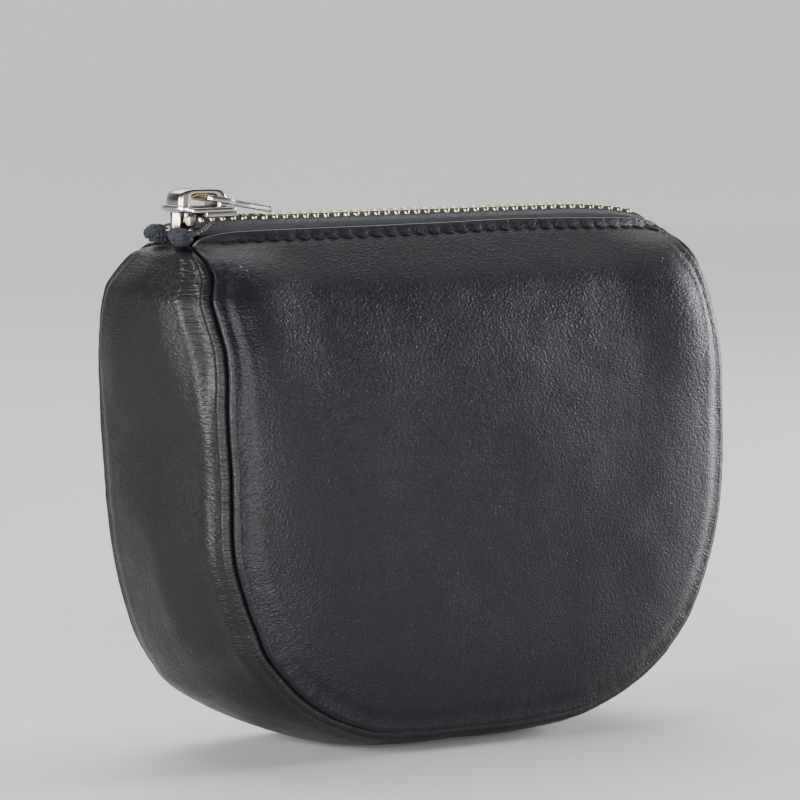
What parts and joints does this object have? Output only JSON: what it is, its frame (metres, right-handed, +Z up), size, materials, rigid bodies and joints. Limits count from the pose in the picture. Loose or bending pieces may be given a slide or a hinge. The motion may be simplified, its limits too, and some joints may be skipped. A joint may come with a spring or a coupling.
{
  "type": "zipped coin purse",
  "caption": "Small rounded leather coin purse with a gusset, turned seams, a fabric lining and a metal zip across its top.",
  "frame": {"origin": "on the floor under the middle of the purse", "axes": "+X along the zip from its closed end to its open end, +Y from the front panel to the back panel, +Z up"},
  "size_m": [0.1276, 0.0502, 0.1108],
  "materials": {
    "black_leather": "fine pebble grain, semi-gloss",
    "lining_fabric": "matt plain weave",
    "zip_tape_weave": "matt herringbone weave",
    "black_thread": "bonded thread",
    "teeth_metal": "antique nickel, lightly polished",
    "slider_nickel": "polished dark nickel",
    "spring_brass": "bright"
  },
  "bodies": {
    "root": {"front_panel": "black_leather", "back_panel": "black_leather", "gusset": "black_leather", "lining_front": "lining_fabric", "lining_back": "lining_fabric", "lining_gusset": "lining_fabric", "seam_thread_front": "black_thread", "seam_thread_back": "black_thread", "zip_tape_front_start": "zip_tape_weave", "zip_tape_front_end": "zip_tape_weave", "top_stop_front": "teeth_metal", "teeth_front_tail": "teeth_metal", "zip_tape_back_start": "zip_tape_weave", "zip_tape_back_end": "zip_tape_weave", "top_stop_back": "teeth_metal", "teeth_back_tail": "teeth_metal", "bottom_stop": "teeth_metal"},
    "front_lip": {"front_panel_lip": "black_leather", "lining_front_lip": "lining_fabric", "zip_tape_front": "zip_tape_weave", "teeth_front": "teeth_metal", "topstitch_front": "black_thread"},
    "back_lip": {"back_panel_lip": "black_leather", "lining_back_lip": "lining_fabric", "zip_tape_back": "zip_tape_weave", "teeth_back": "teeth_metal", "topstitch_back": "black_thread"},
    "slider": {"slider_body": "slider_nickel", "slider_cap": "slider_nickel", "lock_spring": "spring_brass"},
    "pull": {"pull_tab": "slider_nickel"}
  },
  "joints": [
    {"name": "slider_travel", "type": "slide", "parent": "root", "child": "slider", "axis": [1, 0, 0], "range_m": [0, 0.1015]},
    {"name": "pull_swing", "type": "hinge", "parent": "slider", "child": "pull", "pos_m": [-0.05185, 0, 0.1077], "axis": [0, -1, 0], "range_deg": [0, 120], "deforming": ["lock_spring"]},
    {"name": "front_lip_open", "type": "hinge", "parent": "root", "child": "front_lip", "pos_m": [0, -0.025, 0.05], "axis": [1, 0, 0], "range_deg": [0, 14.5], "deforming": ["teeth_front", "zip_tape_front"]},
    {"name": "back_lip_open", "type": "hinge", "parent": "root", "child": "back_lip", "pos_m": [0, 0.025, 0.05], "axis": [-1, 0, 0], "range_deg": [0, 14.5], "deforming": ["teeth_back", "zip_tape_back"]}
  ],
  "couplings": [
    {"joint": "front_lip_open", "follows": "slider_travel", "rad_per_m": 2.49},
    {"joint": "back_lip_open", "follows": "slider_travel", "rad_per_m": 2.49}
  ]
}
